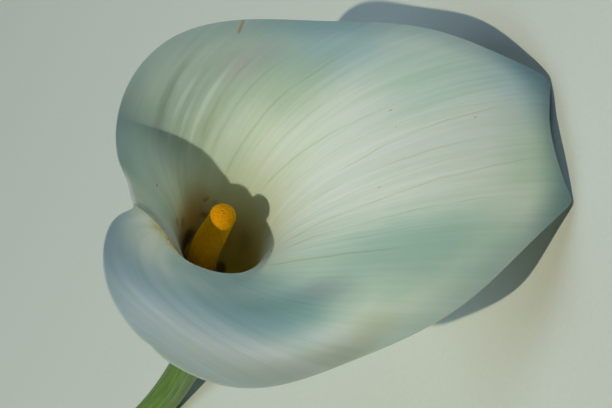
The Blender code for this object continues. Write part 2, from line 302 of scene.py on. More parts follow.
# At the seam, from SEAM_START on and in full SEAM_EASE further round, the inner margin is thinner
# still, and lies this near the layer outside it.
SEAM_START = math.radians(166)
SEAM_EASE = math.radians(12)
SEAM_THINNING = 0.25 * MM
SEAM_THIN_WIDTH = 4 * MM
MARGIN_PRESS = 0.77 * MM
PRESS_WIDTH = 6 * MM
# Folds along the veins: vein in degrees, half width in degrees, height in millimetres.
FOLDS = [
    (160, 2.2, -0.08), (155, 2.0, 0.12), (149, 1.8, -0.34), (145, 1.0, 0.12), (142.6, 0.9, -0.10),
    (140, 1.2, 0.16), (136.6, 1.1, -0.14), (133, 1.3, 0.10), (130, 1.0, -0.08), (126.6, 1.3, 0.22),
    (118, 4.0, -0.20), (110, 1.6, 0.06), (104, 2.2, -0.06), (98, 2.0, 0.05), (92, 2.4, -0.05),
    (86, 1.2, -0.04), (-40, 1.6, -0.05), (-53, 3.5, 0.08), (-66, 4.0, -0.07), (-84, 3.0, 0.05),
    (-98, 4.0, -0.06), (-118, 5.0, 0.05), (-139, 4.0, -0.05),
]
FOLD_SWAY = 2  # degrees by which a fold wanders off its vein
FOLD_SWAY_RUN = 11 * MM
FOLD_FROM_MARGIN = 12 * MM  # folds fade out over this far from the margin
FOLD_LOW = 34 * MM  # and from FOLD_RISE above this down to it in the throat
FOLD_RISE = 36 * MM
# Ripples finer than the folds: how many radians each radian of vein gives, and their height.
RIPPLES = 74
RIPPLE_UNEVENNESS = 7
RIPPLE_HEIGHT = 0.012
# Dips in the margin, of which two make a small tear: azimuth and half width in degrees, depth in
# millimetres.
NICKS = [(-123, 1.6, 0.5), (-118.5, 2.0, -0.12), (-177, 7.0, 2.2)]
PROFILE_POINTS = 801
# The grid's spacing: number of the column or row, and the degrees or share of the length there.
COLUMN_STOPS = [(0, 0), (44, 26), (70, 52), (100, 100), (176, 180 + math.degrees(OVERLAP))]
ROW_STOPS = [(0, 0), (10, 0.09), (34, 0.35), (70, 0.75), (128, 1)]
RIM_POINTS = 3


def smooth(values, azimuth):
    """The cubic spline through values at AZIMUTHS, level at both ends, read at azimuth."""
    x = np.radians(np.array(AZIMUTHS, float))
    y = np.array(values, float)
    step = np.diff(x)
    rise = np.diff(y) / step
    rows = np.eye(len(x))
    wanted = np.zeros(len(x))
    for i in range(1, len(x) - 1):
        rows[i, i - 1 : i + 2] = step[i], 2 * (step[i - 1] + step[i]), step[i - 1]
        wanted[i] = 3 * (step[i] * rise[i - 1] + step[i - 1] * rise[i])
    slope = np.linalg.solve(rows, wanted)
    at = np.clip(np.abs(azimuth), 0, math.pi)
    i = np.clip(np.searchsorted(x, at, side="right") - 1, 0, len(step) - 1)
    t = (at - x[i]) / step[i]
    start = y[i] * (1 + 2 * t) * (1 - t) ** 2 + slope[i] * step[i] * t * (1 - t) ** 2
    return start + y[i + 1] * t * t * (3 - 2 * t) + slope[i + 1] * step[i] * t * t * (t - 1)


def by_lobe(inner, outer, azimuth):
    """The inner lobe's values where the azimuth is 0 or more, and the outer lobe's elsewhere."""
    return np.where(azimuth >= 0, smooth(inner, azimuth), smooth(outer, azimuth))


def on_stops(stops):
    """One value for each whole number, on the straight runs between the stops."""
    numbers, values = zip(*stops)
    return np.interp(np.arange(numbers[-1] + 1), numbers, values)


def run_up(slope, step):
    """Radius and height along each profile: the sums of the sine and cosine of its slope."""
    out = np.cumsum((np.sin(slope[:, 1:]) + np.sin(slope[:, :-1])) / 2 * step, axis=1)
    up = np.cumsum((np.cos(slope[:, 1:]) + np.cos(slope[:, :-1])) / 2 * step, axis=1)
    zero = np.zeros((len(slope), 1))
    return np.hstack([zero, out]) + BASE_RADIUS, np.hstack([zero, up])


def leaf_middle(azimuth, shares):
    """Radius, height, slope, length run and whole length of the leaf's middle layer.

    Each azimuth has a profile whose angle from the axis grows from the tube's slope to the
    margin's opening. Past the roll line the angle grows further, which rolls the tip back.
    """
    reach = by_lobe(REACH_INNER_LOBE, REACH_OUTER_LOBE, azimuth) * MM
    opening = np.radians(by_lobe(OPENING_INNER_LOBE, OPENING_OUTER_LOBE, azimuth))
    lateness = by_lobe(LATENESS_INNER_LOBE, LATENESS_OUTER_LOBE, azimuth)[:, None]
    sharp = -FLARE_LIMIT_SHARPNESS
    flare = (reach**sharp + FLARE_LONGEST**sharp) ** (1 / sharp)
    past = np.clip((np.abs(azimuth) - math.pi) / OVERLAP, 0, 1)
    fall = (1 - past**MARGIN_DIP) ** MARGIN_FALL
    length = OVERLAP_LOW + (TUBE_LENGTH + reach - OVERLAP_LOW) * fall
    for at, wide, deep in NICKS:
        length = length - deep * MM * np.exp(-(((np.degrees(azimuth) - at) / wide) ** 2))

    along = np.linspace(0, 1, PROFILE_POINTS) * length[:, None]
    step = (length / (PROFILE_POINTS - 1))[:, None]
    x = (along - TUBE_LENGTH + FLARE_LEAD) / (flare + FLARE_LEAD)[:, None]
    x = np.clip(x, 0, None) ** lateness
    grown = (np.hypot(x, FLARE_START) - FLARE_START) / (math.hypot(1, FLARE_START) - FLARE_START)
    swell = BASE_SWELL * np.exp(-((along / BASE_SWELL_LENGTH) ** 2))
    slope = TUBE_SLOPE + swell + (opening - TUBE_SLOPE)[:, None] * grown
    radius, _ = run_up(slope, step)

    side = radius * np.sin(azimuth)[:, None] / ROLL_SPAN
    line = ROLL_LINE + ROLL_BOW * side**2 + ROLL_SKEW * side
    beyond = radius * np.cos(azimuth)[:, None] - line
    eased = np.clip(beyond + ROLL_SOFTNESS, 0, None) ** 2 / (4 * ROLL_SOFTNESS)
    beyond = np.where(beyond > ROLL_SOFTNESS, beyond, eased)
    slope = slope + ROLL_MOST * np.tanh(beyond / (ROLL_RADIUS * ROLL_MOST))
    radius, height = run_up(slope, step)

    at = shares * (PROFILE_POINTS - 1)
    low = np.clip(at.astype(int), 0, PROFILE_POINTS - 2)
    part = at - low
    read = [g[:, low] * (1 - part) + g[:, low + 1] * part for g in (radius, height, slope, along)]
    return (*read, length)


def vein_coordinate(azimuth, radius):
    """The azimuth at which the vein through a point leaves the throat, in radians.

    The veins run like water from a spring in a slow stream: all round at first, then bent
    towards the tip. The azimuth grows by the sine of it times the run past the throat.
    """
    return azimuth + np.clip(radius - VEIN_START, 0, None) * np.sin(azimuth) / VEIN_SWEEP


def leaf_surface():
    """The closed leaf: up the outer skin, round the margin, down the inner skin and home.

    Each skin stands half the thickness off a middle layer that winds inwards as the azimuth
    grows. The margin is a half circle, and the thickness grows from it as one less a bell curve.
    """
    one_side = np.radians(on_stops(COLUMN_STOPS))
    azimuth = np.concatenate([-one_side[:0:-1], one_side])
    shares = on_stops(ROW_STOPS)
    radius, height, slope, along, length = leaf_middle(azimuth, shares)
    turn = azimuth[:, None]
    level = np.sin(slope[:, :1]) * np.exp(-((along / SEAT_LENGTH) ** 2))
    vein = vein_coordinate(turn, radius)

    # Low folds follow the veins, each a bell curve across, and fade at the margin and in the throat.
    to_margin = length[:, None] - along
    free = np.clip(to_margin / FOLD_FROM_MARGIN, 0, 1) * np.clip((along - FOLD_LOW) / FOLD_RISE, 0, 1)
    folds = RIPPLE_HEIGHT * np.sin(RIPPLES * vein + 2 * np.sin(RIPPLE_UNEVENNESS * vein))
    for at, wide, high in FOLDS:
        sway = FOLD_SWAY * np.sin(along / FOLD_SWAY_RUN + at)
        folds = folds + high * np.exp(-(((np.degrees(vein) - at - sway) / wide) ** 2))
    lift = folds * MM * free

    thin = 1 - np.exp(-((to_margin / MARGIN_THINNING) ** 2))
    thickness = MARGIN_THICKNESS + (LEAF_THICKNESS - MARGIN_THICKNESS) * thin
    seam = np.clip((turn - SEAM_START) / SEAM_EASE, 0, 1)
    seam = seam**2 * (3 - 2 * seam)
    thickness = thickness - SEAM_THINNING * seam * np.exp(-((to_margin / SEAM_THIN_WIDTH) ** 2))
    press = (MARGIN_PRESS - thickness / 2) * seam
    press = press * np.exp(-((to_margin / PRESS_WIDTH) ** 2))
    layer = LAYER_PITCH * turn / (2 * math.pi) - press + lift

    def spread(inward, ahead=0.0, rows=slice(None)):
        """Points set off from the middle layer, inward across it and ahead past the margin."""
        s, r, z = slope[:, rows], radius[:, rows], height[:, rows]
        r = r - np.cos(s) * inward + np.sin(s) * ahead
        z = z + (np.sin(s) - level[:, rows]) * inward + np.cos(s) * ahead
        return np.stack([r * np.cos(turn), r * np.sin(turn), z], axis=-1)

    outer = spread(layer - thickness / 2)
    inner = spread(layer + thickness / 2)
    half = thickness[:, -1:] / 2
    bend = np.linspace(0, math.pi, RIM_POINTS + 2)[1:-1]
    rim = [spread(layer[:, -1:] - half * math.cos(b), half * math.sin(b), slice(-1, None)) for b in bend]
    points = np.concatenate([outer, *rim, inner[:, ::-1]], axis=1)

    def all_round(grid):
        """Values given on the grid, carried round the margin and back down the inner skin."""
        grid = np.broadcast_to(grid, along.shape)
        return np.concatenate([grid, np.repeat(grid[:, -1:], RIM_POINTS, axis=1), grid[:, ::-1]], axis=1)

    half_loop = np.ones(len(shares))
    inside = np.concatenate([0 * half_loop, np.linspace(0, 1, RIM_POINTS + 2)[1:-1], half_loop])
    inside = np.repeat(inside[None], len(azimuth), axis=0)
    grain = np.stack([all_round(vein) * VEIN_MEASURE / MM, all_round(along) / MM, inside], axis=-1)
    place = [all_round(np.degrees(turn)), all_round(to_margin) / MM, all_round(radius) / MM]
    return points, {"grain": grain, "place": np.stack(place, axis=-1)}


def leaf_faces(columns, loop):
    """Faces between the sections of the leaf, round each closed section, and one at each end."""
    index = np.arange(columns * loop).reshape(columns, loop)
    after = np.roll(index, -1, axis=1)
    skin = np.stack([index[:-1], index[1:], after[1:], after[:-1]], axis=-1).reshape(-1, 4)
    rows = (loop - RIM_POINTS) // 2
    ends = []
    for column in (0, columns - 1):
        ring = index[column]
        strip = [[ring[i], ring[i + 1], ring[loop - 2 - i], ring[loop - 1 - i]] for i in range(rows - 1)]
        strip.append(ring[rows - 1 : rows + RIM_POINTS + 1].tolist())
        ends += strip if column == 0 else [face[::-1] for face in strip]
    return skin.tolist() + [[int(i) for i in face] for face in ends]


# Main veins: where each runs (mm across, read at VEIN_READ along), its drift as it runs, the
# lengths at which it starts and ends, its half width in millimetres, and its strength.
VEINS = [
    (29.2, -0.04, 50, 116, 0.50, 0.34), (10.8, -0.10, 54, 116, 0.50, 0.32),
    (-2, 0.05, 84, 156, 0.45, 0.40), (-6.6, 0, 60, 138, 0.55, 0.35),
    (-16, 0.06, 62, 160, 0.60, 0.28), (-21, 0.03, 66, 150, 0.50, 0.30),
    (-29.5, 0.02, 60, 124, 0.60, 0.32), (19.5, -0.06, 58, 120, 0.40, 0.20),
    (37, -0.03, 60, 110, 0.60, 0.22), (41.8, 0, 62, 108, 0.60, 0.20),
    (51.9, 0, 72, 104, 0.70, 0.30), (4.5, -0.05, 60, 156, 0.40, 0.20),
    (-43, 0, 70, 118, 0.50, 0.15), (24.6, -0.05, 60, 110, 0.40, 0.15),
    (-11, 0.03, 70, 150, 0.40, 0.22), (-25, 0.02, 70, 136, 0.40, 0.20),
    (-36, 0.02, 66, 116, 0.45, 0.18),
]
VEIN_READ = 90
VEIN_WAVER = 1.6  # millimetres across
VEIN_RISE = 12  # a vein comes up over this many millimetres
VEIN_DWINDLE = 22  # and dies away over this many
# Small marks on the inner skin: middle across and along, half sizes, colour, strength.
MARKS = [
    # Stains in the throat, where the skin is bruised and damp, the darkest behind the finger.
    (47.6, 32.6, 8, 6.6, "#42211A", 0.85), (37, 38.5, 4, 2.4, "#5A4A20", 0.45),
    (50.5, 44.6, 2.6, 3, "#6B5726", 0.45), (56, 50.8, 1.6, 3.5, "#B08A3C", 0.45),
    (36.6, 45.6, 2.4, 1.3, "#6C5E2C", 0.4), (31.6, 43.6, 1.8, 1.4, "#6C5E2C", 0.25),
    (36.6, 18.7, 5, 5, "#5A4420", 0.5), (10.8, 30, 7, 7, "#7C7434", 0.12),
    # Specks, brown in the throat and golden on the blade, and last a dark patch deep in the tube, which is
    # painted shade.
    (56.3, 69.6, 0.45, 0.5, "#5F4326", 0.8), (-16.9, 57.6, 0.8, 0.9, "#3E3038", 0.85),
    (7.7, 111.6, 0.35, 0.8, "#D9A53C", 0.6), (2.6, 111.6, 0.25, 0.5, "#C9B56A", 0.6),
    (-1, 135.2, 0.3, 0.7, "#CDBB62", 0.55), (-12, 104, 0.3, 0.6, "#A2A56A", 0.5),
    (-45, 92, 0.2, 0.5, "#9CA58C", 0.5), (20, 9, 6, 5, "#2E1A24", 0.5),
    # Painted light on the ridges and painted shade in the hollows of the folded lobe.
    (49.2, 79, 0.8, 13, "#EEF6EE", 0.24), (44.3, 77, 0.9, 18, "#EEF6EE", 0.36),
    (47, 74, 0.6, 9, "#EEF6EE", 0.2), (41.2, 75, 2.6, 17, "#A3B48F", 0.3),
    (52.2, 84, 1.2, 16, "#8FA296", 0.3),
    # Skin stained yellow by pollen beside the seam.
    (-60, 66, 2.6, 14, "#E8CB70", 0.6), (-57.6, 57, 2.6, 9, "#DDB04A", 0.7),
    (-54.2, 57.5, 2.8, 7, "#DDB04A", 0.65),
]
WIDE_MARK = 1  # marks of this half width or more have ragged edges
POLLEN_DUST = (-57.4, 59, 2.6, 18, "#DDBB5C", 0.85)
# Painted shade, multiplied in where the skin turns from the lamps more than the leaf's form shows:
# cool and bluish on the lobes and blade, warm down in the throat. Columns as for the marks.
PAINTED_SHADE_TINTS = [
    # Throat.
    (45, 36, 18, 21, "#CB9A3E", 1), (10, 26, 26, 20, "#DDB69C", 0.45),
    # Inner lobe.
    (53, 86, 24, 42, "#D2D8DC", 1), (34, 114, 22, 26, "#D0E0F0", 1),
    (29, 91, 15, 22, "#E6EBE6", 1), (42, 95, 7, 12, "#FAF2F8", 1),
    # Blade and tip.
    (11, 128, 16, 32, "#E2F1EC", 1), (-29, 120, 15, 40, "#D4E6E7", 1),
    (-12, 150, 12, 16, "#F0F8F0", 1), (6, 158, 16, 24, "#DDEAF9", 1),
    # Outer lobe.
    (-44, 80, 16, 26, "#D8E6F0", 1), (-48, 101, 18, 16, "#B9D5DE", 1),
    (-39.7, 101, 6, 12, "#FAF1F8", 1), (-60, 92, 5, 16, "#DEE9F7", 1),
    (-63, 104, 9, 22, "#DCE6FB", 0.4), (-51, 122, 13, 9, "#F9F2EB", 1),
    (-54, 120, 12, 9, "#ECECE8", 1),
]
# Painted light, where the lamps fall most full: the middle of the blade, the crown of the outer lobe, the
# seam.
PAINTED_LIGHT_ZONES = [
    (0, 106, 40, 88, "#FAFDF4", 1), (-57, 109, 16, 28, "#F8FCFF", 1),
    (-59.5, 80, 8, 28, "#FFFBEC", 1),
]
# A dry brown scratch that runs in from the margin of the inner lobe: its azimuth at the margin in
# degrees, and the degrees it gains for each millimetre inwards.
SCRATCH_AT = 75.6
SCRATCH_SLANT = 0.28
# The share of its half size that a patch covers in full, before it fades.
TINT_CORE = 0.15
DUST_CORE = 0.2
MARK_CORE = 0.35


def leaf_material():
    """White plant skin of small domed cells: matt with a soft lustre, and light seeps through.

    Its colour is laid on in layers, some of them painted light and shade. Each covers a share of the
    skin, and the share is a product of smooth ramps of the leaf's own measures and of noise drawn out
    along the veins.
    """
    material, tree = new_material("soft_white_spathe_skin")
    grain = add_node(tree, "ShaderNodeAttribute", attribute_name="grain").outputs["Vector"]
    place = add_node(tree, "ShaderNodeAttribute", attribute_name="place").outputs["Vector"]
    spot = add_node(tree, "ShaderNodeTexCoord").outputs["Object"]
    across, along, inside = add_node(tree, "ShaderNodeSeparateXYZ", {0: grain}).outputs
    turn, to_margin, radius = add_node(tree, "ShaderNodeSeparateXYZ", {0: place}).outputs

    def share(*fades):
        """The product of smooth ramps: of what, from, to, and the values at those two ends."""
        product = None
        for source, low, high, first, last in fades:
            fade = add_node(tree, "ShaderNodeMapRange", {0: source, 1: low, 2: high, 3: first, 4: last},
                            interpolation_type="SMOOTHSTEP").outputs[0]
            if product is not None:
                fade = add_node(tree, "ShaderNodeMath", {0: product, 1: fade},
                                operation="MULTIPLY").outputs[0]
            product = fade
        return product

    def streaks(spacing, run, detail):
        """Noise drawn out along the veins, as a number and as a colour; sizes in millimetres.

        The two skins stand far apart in the noise, so that each has streaks of its own.
        """
        drawn_out = add_node(tree, "ShaderNodeVectorMath", {0: grain, 1: (1 / spacing, 1 / run, 40)},
                             operation="MULTIPLY").outputs[0]
        noise = {"Vector": drawn_out, "Scale": 1.0, "Detail": detail, "Roughness": 0.55}
        return add_node(tree, "ShaderNodeTexNoise", noise).outputs

    def near(patch, where, core, *fades):
        """A patch's strength in its core, and 0 from its edge outwards, on the inner skin alone.

        It is read from the distance to the middle in half sizes, where the outer skin is 3 away.
        """
        at_across, at_along, half_across, half_along, _, strength = patch
        offset = add_node(tree, "ShaderNodeVectorMath", {0: where, 1: (at_across, at_along, 1)},
                          operation="SUBTRACT").outputs[0]
        sized = add_node(tree, "ShaderNodeVectorMath", {0: offset, 1: (1 / half_across, 1 / half_along, 3)},
                         operation="MULTIPLY").outputs[0]
        away = add_node(tree, "ShaderNodeVectorMath", {0: sized}, operation="LENGTH").outputs["Value"]
        return share((away, core, 1.0, strength, 0.0), *fades)

    within = (inside, 0.0, 1.0, 0.0, 1.0)
    fine = streaks(1.1, 50, 4.0)[0]
    peel = streaks(0.30, 1.6, 2.0)[0]
    # Uneven edges for all that is painted on: the vein coordinates pushed about by noise.
    push = add_node(tree, "ShaderNodeVectorMath", {0: streaks(6.0, 14.0, 3.0)[1], 1: (0.5, 0.5, 0.5)},
                    operation="SUBTRACT").outputs[0]
    ragged = add_node(tree, "ShaderNodeVectorMath", {0: push, 1: (5.0, 7.0, 0.0), 2: grain},
                      operation="MULTIPLY_ADD").outputs[0]

    # Thin olive veins that waver, swell and fade as they run. Each is read from how far it is, in
    # millimetres on the skin, to the line that the vein follows.
    wavered = add_node(tree, "ShaderNodeMath", {0: streaks(14.0, 16.0, 2.0)[0], 1: VEIN_WAVER, 2: across},
                       operation="MULTIPLY_ADD").outputs[0]
    scale = add_node(tree, "ShaderNodeMath", {0: radius, 1: MM / VEIN_MEASURE}, operation="MULTIPLY")
    veins = 0.0
    for at, drift, first, last, half, strength in VEINS:
        start = VEIN_READ * drift - at - VEIN_WAVER / 2
        gap = along
        for operation, second, third in (("MULTIPLY_ADD", -drift, start), ("ADD", wavered, 0.0),
                                         ("ABSOLUTE", 0.0, 0.0), ("MULTIPLY", scale.outputs[0], 0.0)):
            gap = add_node(tree, "ShaderNodeMath", {0: gap, 1: second, 2: third}, operation=operation)
            gap = gap.outputs[0]
        shown = share((gap, half * 0.2, half * 1.6, strength, 0.0),
                      (along, first, first + VEIN_RISE, 0.0, 1.0),
                      (along, last - VEIN_DWINDLE, last, 1.0, 0.0))
        veins = add_node(tree, "ShaderNodeMath", {0: veins, 1: shown}, operation="MAXIMUM").outputs[0]
    swell = share((streaks(2.0, 22.0, 2.0)[0], 0.3, 0.6, 0.35, 1.0), within)
    veins = add_node(tree, "ShaderNodeMath", {0: veins, 1: swell}, operation="MULTIPLY").outputs[0]

    # How far a point is from the scratch's line, in degrees times millimetres.
    off_line = add_node(tree, "ShaderNodeMath", {0: to_margin, 1: -SCRATCH_SLANT, 2: turn},
                        operation="MULTIPLY_ADD").outputs[0]
    for operation, second in (("SUBTRACT", SCRATCH_AT), ("ABSOLUTE", 0.0), ("MULTIPLY", radius)):
        off_line = add_node(tree, "ShaderNodeMath", {0: off_line, 1: second}, operation=operation).outputs[0]

    # Ivory white with a breath of green, mottled in patches 26 mm wide.
    patches = add_node(tree, "ShaderNodeTexNoise", {"Vector": spot, "Scale": 0.038 / MM, "Detail": 2.0})
    patches = patches.outputs[0]
    layers = [(share((patches, 0.35, 0.65, 0.0, 1.0)), "#E0E9DE", "MIX")]
    # Painted light: zones mixed towards white where the lamps fall most full.
    layers += [(near(zone, grain, TINT_CORE), zone[4], "MIX") for zone in PAINTED_LIGHT_ZONES]
    layers += [
        (share((fine, 0.40, 0.62, 0.0, 0.20)), "#C2D6BC", "MIX"),
        (share((streaks(3.2, 110, 2.0)[0], 0.42, 0.60, 0.0, 0.22)), "#C6D9C8", "MIX"),
    ]
    # Painted shade: tints multiplied in where the skin turns from the lamps.
    layers += [(near(tint, ragged, TINT_CORE), tint[4], "MULTIPLY") for tint in PAINTED_SHADE_TINTS]
    layers += [
        (veins, "#B9C096", "MULTIPLY"),
        # Painted cool shade along the thin margin, which turns from the lamps, and painted shade on the skin
        # over the roll, which turns away from them.
        (share((to_margin, 0.0, 11.0, 0.55, 0.0), (turn, 158.0, 170.0, 1.0, 0.0)), "#A6BCCF", "MULTIPLY"),
        (share((radius, 84.0, 96.0, 0.0, 0.85), within), "#9FB9C3", "MULTIPLY"),
        (share((off_line, math.degrees(0.25), math.degrees(0.75), 0.85, 0.0),
               (to_margin, 4.2, 5.8, 1.0, 0.0), within), "#A88F70", "MIX"),
        # The inner margin, pressed flat at the seam, is painted near white: painted light on its rolled edge.
        (share((turn, 160.0, 174.0, 0.0, 1.0), (to_margin, 0.8, 2.6, 0.9, 0.0)), "#FBFBF4", "MIX"),
        # Warm yellow green down in the throat, leaf green where the leaf joins the stem.
        (share((along, 20.0, 66.0, 0.8, 0.0), within), "#DACA93", "MIX"),
        (share((along, 2.0, 34.0, 0.95, 0.0), (inside, 0.0, 1.0, 1.0, 0.12)), "#94AC62", "MIX"),
        # Pollen dust beside the inner margin, then the stains and specks.
        (near(POLLEN_DUST, ragged, DUST_CORE, (streaks(0.8, 2.0, 3.0)[0], 0.4, 0.6, 0.0, 1.0)),
         POLLEN_DUST[4], "MIX"),
    ]
    for mark in MARKS:
        where = grain if mark[2] < WIDE_MARK else ragged
        layers.append((near(mark, where, MARK_CORE), mark[4], "MIX"))
    colour = hex_colour("#D8E7DC")
    for cover, code, blend in layers:
        colour = add_node(tree, "ShaderNodeMix", {0: cover, 6: colour, 7: hex_colour(code)},
                          data_type="RGBA", blend_type=blend).outputs[2]

    # Bump: the veins a little sunk, and skin cells drawn out along them like fine orange peel.
    relief = 0.0
    for source, height in ((veins, -0.5), (peel, 0.5), (fine, 0.8)):
        relief = add_node(tree, "ShaderNodeMath", {0: source, 1: height, 2: relief},
                          operation="MULTIPLY_ADD").outputs[0]
    bump = add_node(tree, "ShaderNodeBump", {"Height": relief, "Strength": 0.8, "Distance": 0.12 * MM})
    shader = add_node(tree, "ShaderNodeBsdfPrincipled", {
        "Base Color": colour, "Roughness": share((peel, 0.3, 0.7, 0.46, 0.60)),
        "Normal": bump.outputs[0], "Specular IOR Level": 0.35,
        "Subsurface Weight": 0.8, "Subsurface Radius": (1.0, 0.9, 0.7), "Subsurface Scale": 2 * MM,
        "Sheen Weight": 0.08, "Sheen Roughness": 0.5,
    })
    add_node(tree, "ShaderNodeOutputMaterial", {"Surface": shader.outputs[0]})
    return material


leaf_points, leaf_values = leaf_surface()
spathe = add_piece("rolled_spathe", laid_down(leaf_points), leaf_faces(*leaf_points.shape[:2]),
                   leaf_material(), leaf_values)
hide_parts("spathe")

# ----------------------------------------------------------------------------
# Spadix
# The finger in the throat, one fleshy rod crowded with tiny flowers. Above are some two thousand
# golden stamens, each a cushion with a groove across it. Below are pale green pistils, each a
# knob with a blunt tip. Both are set in spirals by the golden angle.
# ----------------------------------------------------------------------------
SPADIX_LENGTH = 65.4 * MM
SPADIX_TIP_RADIUS = 4.1 * MM
SPADIX_RADIUS = 4.75 * MM
SPADIX_TAPER_TOP = 60 * MM
SPADIX_TAPER = 14 * MM
SPADIX_NECK = 3.4 * MM
SPADIX_NECK_LENGTH = 4 * MM
SPADIX_BOW = np.array([-5.0, 0.2]) * MM
SPADIX_BOW_LOW = 0.9
SPADIX_TIP_LEAN = np.array([-1.4, -0.6]) * MM
PISTIL_ZONE = 21 * MM
SPADIX_SIDES = 220
GOLDEN_ANGLE = math.pi * (3 - math.sqrt(5))
FLORET_PACKING = 0.866  # a floret takes this share of its pitch squared, as circles do side by side
STAMEN_PITCH = 0.78 * MM
STAMEN_HALF_WIDTH = 0.56 * STAMEN_PITCH
STAMEN_HEIGHT = 0.30 * MM
STAMEN_STEP = 0.135 * MM
GROOVE_DEPTH = 0.35
GROOVE_WIDTH = 0.09 * MM
PISTIL_PITCH = 1.9 * MM
PISTIL_HALF_WIDTH = 0.55 * PISTIL_PITCH
PISTIL_TIP = 0.28  # the tip's half width as a share of the knob's
PISTIL_HEIGHT = 0.75 * MM
PISTIL_STEP = 0.2 * MM


def finger_profile(bottom, top, step):
    """Run along the skin, height and radius of the bare finger.

    The radius eases from the lower one to the tip's by a smooth step, less a neck that dies away
    upwards as an exponential. The finger's end is a quarter circle.
    """
    ball = SPADIX_LENGTH - SPADIX_TIP_RADIUS
    straight_top = min(top, ball)
    straight = np.linspace(bottom, straight_top, int((straight_top - bottom) / step))
    neck = (SPADIX_RADIUS - SPADIX_NECK) * np.exp(-straight / SPADIX_NECK_LENGTH)
    down = np.clip((SPADIX_TAPER_TOP - straight) / SPADIX_TAPER, 0, 1)
    full = SPADIX_TIP_RADIUS + (SPADIX_RADIUS - SPADIX_TIP_RADIUS) * down**2 * (3 - 2 * down)
    heights, radii = straight, full - neck
    if top > ball:
        bend = np.linspace(0, math.pi / 2, int(SPADIX_TIP_RADIUS * math.pi / 2 / step))[1:-1]
        heights = np.concatenate([heights, ball + SPADIX_TIP_RADIUS * np.sin(bend)])
        radii = np.concatenate([radii, SPADIX_TIP_RADIUS * np.cos(bend)])
    run = np.concatenate([[0], np.cumsum(np.hypot(np.diff(heights), np.diff(radii)))])
    return run, heights, radii


def florets_on(run, heights, radii, pitch):
    """Centres of florets set by the golden angle, each with an equal share of the skin."""
    area = np.concatenate([[0], np.cumsum(math.pi * (radii[1:] + radii[:-1]) * np.diff(run))])
    count = int(area[-1] / (FLORET_PACKING * pitch * pitch))
    at = np.interp((np.arange(count) + 0.5) / count * area[-1], area, run)
    turn = np.arange(count) * GOLDEN_ANGLE
    r = np.interp(at, run, radii)
    centres = np.stack([r * np.cos(turn), r * np.sin(turn), np.interp(at, run, heights)], axis=-1)
    return at, centres


def finger_surface(bottom, top, step, pitch, shape, seed):
    """Rings of the finger raised into florets; shape gives the relief round each centre.

    Each point looks for the nearest floret centre among those up to two pitches away along
    the run, and is raised by shape(distance across, distance along, floret's own share).
    """
    run, heights, radii = finger_profile(bottom, top, step)
    at, centres = florets_on(run, heights, radii, pitch)
    own = np.random.default_rng(seed).random(len(centres))
    turn = np.linspace(0, 2 * math.pi, SPADIX_SIDES, endpoint=False)
    c, s = np.cos(turn), np.sin(turn)
    slant = np.gradient(radii, run)
    raised = np.zeros((len(run), SPADIX_SIDES))
    tone = np.zeros((len(run), SPADIX_SIDES))
    for i in range(len(run)):
        near = np.abs(at - run[i]) < 2 * pitch
        ring = np.stack([radii[i] * c, radii[i] * s, heights[i] + 0 * c], axis=-1)
        gap = ring[:, None] - centres[near][None]
        nearest = (gap**2).sum(-1).argmin(axis=1)
        gap = gap[np.arange(SPADIX_SIDES), nearest]
        sideways = gap[:, 1] * c - gap[:, 0] * s
        endways = np.sqrt(np.clip((gap**2).sum(-1) - sideways**2, 0, None))
        share = own[near][nearest]
        raised[i] = shape(sideways, endways, share)
        tone[i] = share
    normal_out = np.sqrt(np.clip(1 - slant**2, 0, 1))[:, None]
    out = radii[:, None] + raised * normal_out
    up = heights[:, None] - raised * slant[:, None]
    part = np.clip(up / (SPADIX_LENGTH - SPADIX_TIP_RADIUS), 0, 1)[..., None]
    aside = SPADIX_BOW * np.sin(math.pi * part**SPADIX_BOW_LOW) + SPADIX_TIP_LEAN * part**2
    points = np.stack([out * c + aside[..., 0], out * s + aside[..., 1], up], axis=-1)
    return points, raised, tone


def stamen_shape(sideways, endways, share):
    """A cushion: a flat-topped dome, less a bell curve across that cuts a groove in its middle."""
    away = np.hypot(sideways, endways) / STAMEN_HALF_WIDTH
    dome = np.clip(1 - away**2.5, 0, 1) ** 0.6
    groove = GROOVE_DEPTH * np.exp(-((sideways / GROOVE_WIDTH) ** 2)) * dome
    return STAMEN_HEIGHT * ((0.75 + 0.5 * share) * (dome - groove) - 0.55)


def pistil_shape(sideways, endways, share):
    """A knob with a blunt tip: a low dome and a small narrow one on its top."""
    away = np.hypot(sideways, endways) / PISTIL_HALF_WIDTH
    dome = np.clip(1 - away**2, 0, 1) ** 0.5
    tip = np.clip(1 - (away / PISTIL_TIP) ** 4, 0, 1)
    return PISTIL_HEIGHT * ((0.85 + 0.3 * share) * dome * 0.8 + 0.25 * tip - 0.6)


